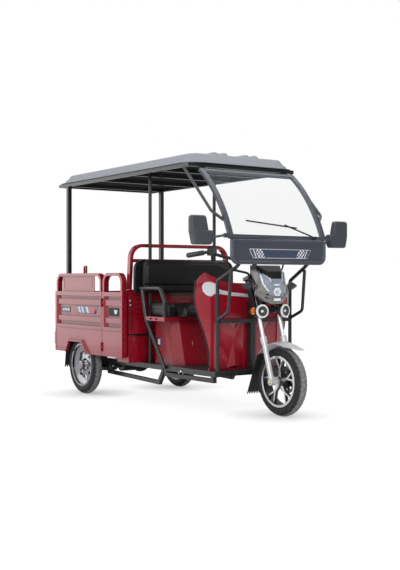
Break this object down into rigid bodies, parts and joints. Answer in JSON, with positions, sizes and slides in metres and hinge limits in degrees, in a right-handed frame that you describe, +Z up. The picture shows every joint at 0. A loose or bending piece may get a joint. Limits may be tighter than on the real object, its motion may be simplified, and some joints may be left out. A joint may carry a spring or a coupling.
{
  "type": "electric tricycle",
  "caption": "Electric cargo tricycle with one steered front wheel, a bench seat, a red steel load bed with side doors and tailgate, and a full-length roof.",
  "frame": {"origin": "on the ground, at the middle of the overall length and width", "axes": "+X forward, +Y to the vehicle left, +Z up"},
  "size_m": [2.5845, 1.314, 1.7679],
  "materials": {
    "amber": "amber lens",
    "battery": "black",
    "board": "black",
    "body_red": "gloss crimson",
    "cover_clear": "clear",
    "cowl_grey": "satin blue-grey",
    "fairing_grey": "metallic grey",
    "floor_steel": "dark grey",
    "frame_black": "satin black",
    "glass": "clear",
    "leather": "black vinyl",
    "lens": "clear over white reflector",
    "lining": "matte light grey",
    "mirror_pane": "silvered",
    "mirror_plastic": "grained dark grey",
    "rim_bright": "polished",
    "rim_dark": "machined and black",
    "roof_grey": "satin grey",
    "rubber": "matt black",
    "shield_red": "gloss crimson",
    "silver": "silver paint",
    "spring_steel": "dark",
    "tail_red": "red lens",
    "tyre": "matt black"
  },
  "bodies": {
    "chassis": {"armrests": "frame_black", "backboard": "board", "backrest": "leather", "battery_pack": "battery", "bed_floor": "floor_steel", "bed_front_wall": "body_red", "bed_side_left": "body_red", "bed_side_right": "body_red", "chassis_frame": "frame_black", "cowl": "cowl_grey", "floor_pan": "rubber", "front_guards": "frame_black", "leaf_springs": "spring_steel", "leg_shield": "shield_red", "mirror_glass": "mirror_pane", "mirrors": "mirror_plastic", "rear_axle": "spring_steel", "rear_mudflaps": "rubber", "roof_frame": "frame_black", "roof_lining": "lining", "roof_shell": "roof_grey", "screen_braces": "frame_black", "seat_base": "body_red", "seat_cushion": "leather", "steering_head": "frame_black", "tail_lamps": "tail_red", "windscreen": "glass", "windscreen_frame": "cowl_grey"},
    "side_door_right": {"side_door_right": "body_red"},
    "side_door_left": {"side_door_left": "body_red"},
    "tailgate": {"tailgate": "body_red"},
    "steering": {"handlebar": "frame_black", "fork_upper": "silver", "fork_lower": "silver", "fork_lamps": "silver", "headlamp_fairing": "fairing_grey", "headlamp_lens": "lens", "turn_signals": "mirror_plastic", "side_reflectors": "amber", "steering_covers": "board", "headlamp_cover": "cover_clear", "front_fender": "silver", "front_mudflap": "rubber", "cables": "rubber"},
    "front_wheel": {"front_rim": "rim_dark", "front_tyre": "tyre"},
    "rear_wheel_right": {"rear_rim_right": "rim_bright", "rear_tyre_right": "tyre"},
    "rear_wheel_left": {"rear_rim_left": "rim_bright", "rear_tyre_left": "tyre"}
  },
  "joints": [
    {"name": "steering_turn", "type": "hinge", "parent": "chassis", "child": "steering", "pos_m": [0.83368, 0, 0.8], "axis": [-0.3057, 0, 0.9521], "range_deg": [-35, 35]},
    {"name": "front_wheel_spin", "type": "hinge", "parent": "steering", "child": "front_wheel", "pos_m": [1.06475, 0, 0.2275], "axis": [0, 1, 0], "continuous": true},
    {"name": "rear_wheel_right_spin", "type": "hinge", "parent": "chassis", "child": "rear_wheel_right", "pos_m": [-0.82325, -0.44, 0.2275], "axis": [0, 1, 0], "continuous": true},
    {"name": "rear_wheel_left_spin", "type": "hinge", "parent": "chassis", "child": "rear_wheel_left", "pos_m": [-0.82325, 0.44, 0.2275], "axis": [0, 1, 0], "continuous": true},
    {"name": "side_door_right_hinge", "type": "hinge", "parent": "chassis", "child": "side_door_right", "pos_m": [-0.45125, -0.5065, 0.56], "axis": [0, 0, -1], "range_deg": [0, 110]},
    {"name": "side_door_left_hinge", "type": "hinge", "parent": "chassis", "child": "side_door_left", "pos_m": [-0.45125, 0.5065, 0.56], "axis": [0, 0, 1], "range_deg": [0, 110]},
    {"name": "tailgate_hinge", "type": "hinge", "parent": "chassis", "child": "tailgate", "pos_m": [-1.24075, 0, 0.512], "axis": [0, -1, 0], "range_deg": [0, 90]}
  ]
}
